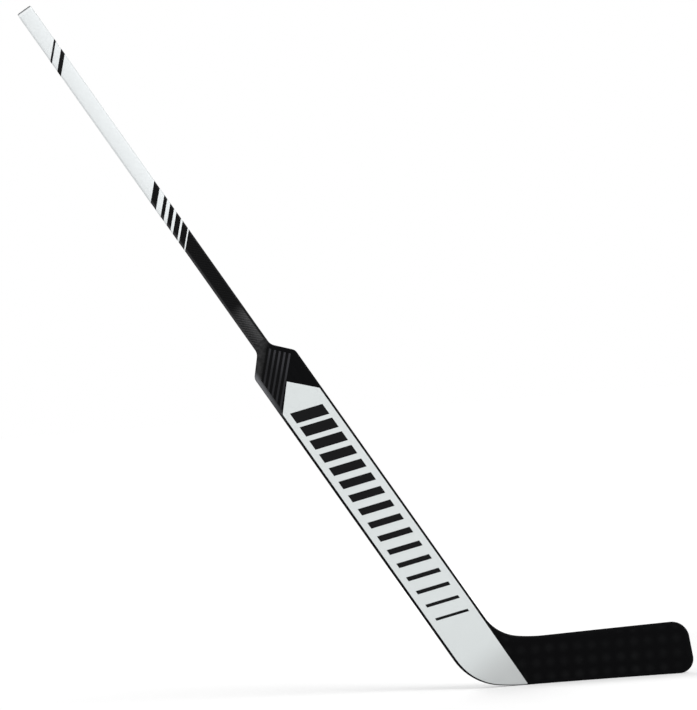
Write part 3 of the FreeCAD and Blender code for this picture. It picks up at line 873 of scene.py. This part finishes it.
class STICK_OT_films(StickOperator):
    """Lays the white films on paddle and shaft"""
    bl_idname = "stick.films"
    bl_label = "Lay the films"

    def execute(self, context):
        stick = context.scene.goalie_stick
        dress(white_shaft_film(stick), "shaft_wrap", "shaft_band")
        white = white_paddle_film(stick)
        dress(white, "paddle_front_film", "paddle_back_film")
        lapped_film("paddle_front_sheet", "paddle_front_film", white, stick)
        lapped_film("paddle_back_sheet", "paddle_back_film", white, stick)
        return {"FINISHED"}


class STICK_OT_blade(StickOperator):
    """Finishes the blade's skins and web"""
    bl_idname = "stick.blade"
    bl_label = "Finish the blade"

    def execute(self, context):
        stick = context.scene.goalie_stick
        dress(carbon_spread_tow(stick), "blade_front_skin", "blade_back_skin", "blade_web")
        return {"FINISHED"}


class STICK_OT_cores(StickOperator):
    """Finishes the foam and the dense blocks inside"""
    bl_idname = "stick.cores"
    bl_label = "Finish the cores"

    def execute(self, context):
        stick = context.scene.goalie_stick
        patterns, reliefs, colours = stick.patterns, stick.reliefs, stick.colours
        wall = stick.shares.cell_wall
        foam = cut_foam("closed_cell_foam", colours.foam, wall, patterns.foam_cell, reliefs.foam)
        block = cut_foam("dense_moulded_foam", colours.block, wall, patterns.block_cell, reliefs.block)
        dress(foam, "paddle_core", "blade_core_upper", "blade_core_lower")
        dress(block, "shoulder_block", "heel_block")
        return {"FINISHED"}


class STICK_OT_paddle_bars(StickOperator):
    """Prints the run of bars on both faces of the paddle"""
    bl_idname = "stick.paddle_bars"
    bl_label = "Print the paddle"

    def execute(self, context):
        stick = context.scene.goalie_stick
        bars, sizes = stick.bars, stick.sizes
        tree = bar_tree(sizes)
        ink = black_screen_ink(stick)
        for name, side in (("paddle_front_bars", -1), ("paddle_back_bars", 1)):
            make_print(name, tree, {
                "Count": bars.bars, "Start": bars.start, "Pitch": -bars.pitch, "First": bars.first,
                "Last": bars.last, "Rise": math.tan(bars.lean), "Width": bars.width,
                "Thickness": 2 * sizes.ink, "Face": side * sizes.film_face, "Ink": ink})
        return {"FINISHED"}


class STICK_OT_shaft_hoops(StickOperator):
    """Prints the slanted hoops round the shaft"""
    bl_idname = "stick.shaft_hoops"
    bl_label = "Print the shaft"

    def execute(self, context):
        stick = context.scene.goalie_stick
        hoops, sizes = stick.hoops, stick.sizes
        tree = hoop_tree(sizes)
        for name, run, face, ink in (("shaft_top_hoops", "top", sizes.wrap_face, "black_screen_ink"),
                                     ("shaft_lower_hoops", "low", 0, "white_shaft_film")):
            make_print(name, tree, {
                "Count": getattr(hoops, run + "_hoops"), "Start": getattr(hoops, run + "_start"),
                "Pitch": getattr(hoops, run + "_pitch"), "First": getattr(hoops, run + "_first"),
                "Last": getattr(hoops, run + "_last"), "Rise": 1 / math.tan(sizes.slant),
                "Width": sizes.shaft_width, "Depth": sizes.shaft_thickness, "Corner": sizes.rounding,
                "Steps": hoops.round_steps, "Under": face - sizes.ink, "Over": face + sizes.ink,
                "Ink": bpy.data.materials[ink]})
        return {"FINISHED"}


class STICK_OT_studio(StickOperator):
    """Sets the white floor, the lamps and the camera"""
    bl_idname = "stick.studio"
    bl_label = "Set the studio"

    def execute(self, context):
        studio = context.scene.goalie_stick.studio
        aim = Vector(studio.aim)
        world = bpy.data.worlds.new("white_studio")
        world.use_nodes = True
        tree = world.node_tree
        tree.nodes.clear()
        strength = add(tree, MIX, {FACTOR: seen_white(tree), FROM: studio.ambient, TO: 1.0})
        background = add(tree, "ShaderNodeBackground", {"Color": studio.white, "Strength": strength})
        add(tree, "ShaderNodeOutputWorld", {"Surface": background}, None)
        context.scene.world = world

        far = studio.floor_reach
        mesh = bpy.data.meshes.new("floor")
        mesh.from_pydata([(-far, -far, 0), (far, -far, 0), (far, far, 0), (-far, far, 0)], [], [(0, 1, 2, 3)])
        mesh.materials.append(white_paper(studio))
        floor = bpy.data.objects.new("floor", mesh)
        context.scene.collection.objects.link(floor)

        lamp("key_lamp", studio.key_place, aim, studio.key_size, studio.key)
        lamp("fill_lamp", studio.fill_place, aim, studio.fill_size, studio.fill)
        lamp("back_lamp", studio.back_place, aim, studio.back_size, studio.back)

        data = bpy.data.cameras.new("camera")
        data.sensor_width = 36
        data.lens = data.sensor_width * studio.away / studio.frame_height
        data.clip_end = 200
        camera = bpy.data.objects.new("camera", data)
        context.scene.collection.objects.link(camera)
        turn = Matrix.Rotation(math.pi / 2, 3, "X") @ Matrix.Rotation(-studio.roll, 3, "Z")
        camera.matrix_world = Matrix.Translation(aim - Vector((0, studio.away, 0))) @ turn.to_4x4()
        context.scene.camera = camera
        context.scene.view_settings.view_transform = "Standard"
        return {"FINISHED"}


class STICK_PT_panel(bpy.types.Panel):
    """Steps and settings of the goalie stick"""
    bl_idname = "STICK_PT_panel"
    bl_label = "Goalie stick"
    bl_space_type = "VIEW_3D"
    bl_region_type = "UI"
    bl_category = "Goalie stick"

    def draw(self, context):
        for step in steps:
            self.layout.operator(step.bl_idname)
        for group in StickProperties.__annotations__:
            settings = getattr(context.scene.goalie_stick, group)
            box = self.layout.box()
            for name in settings.__annotations__:
                box.prop(settings, name)


steps = (STICK_OT_shaft, STICK_OT_paddle, STICK_OT_films, STICK_OT_blade, STICK_OT_cores,
         STICK_OT_paddle_bars, STICK_OT_shaft_hoops, STICK_OT_studio)
groups = (StickSizes, PaddleFilm, StickPatterns, StickReliefs, StickPlaces, StickShares, StickColours,
          PaddleBars, ShaftHoops, StickStudio, StickProperties)
classes = groups + steps + (STICK_PT_panel,)


def register():
    for kind in classes:
        bpy.utils.register_class(kind)
    bpy.types.Scene.goalie_stick = bpy.props.PointerProperty(type=StickProperties)


def unregister():
    del bpy.types.Scene.goalie_stick
    for kind in reversed(classes):
        bpy.utils.unregister_class(kind)


def main():
    register()
    bpy.ops.stick.shaft()
    bpy.ops.stick.paddle()
    bpy.ops.stick.films()
    bpy.ops.stick.blade()
    bpy.ops.stick.cores()
    bpy.ops.stick.paddle_bars()
    bpy.ops.stick.shaft_hoops()
    bpy.ops.stick.studio()


if __name__ == "__main__":
    main()
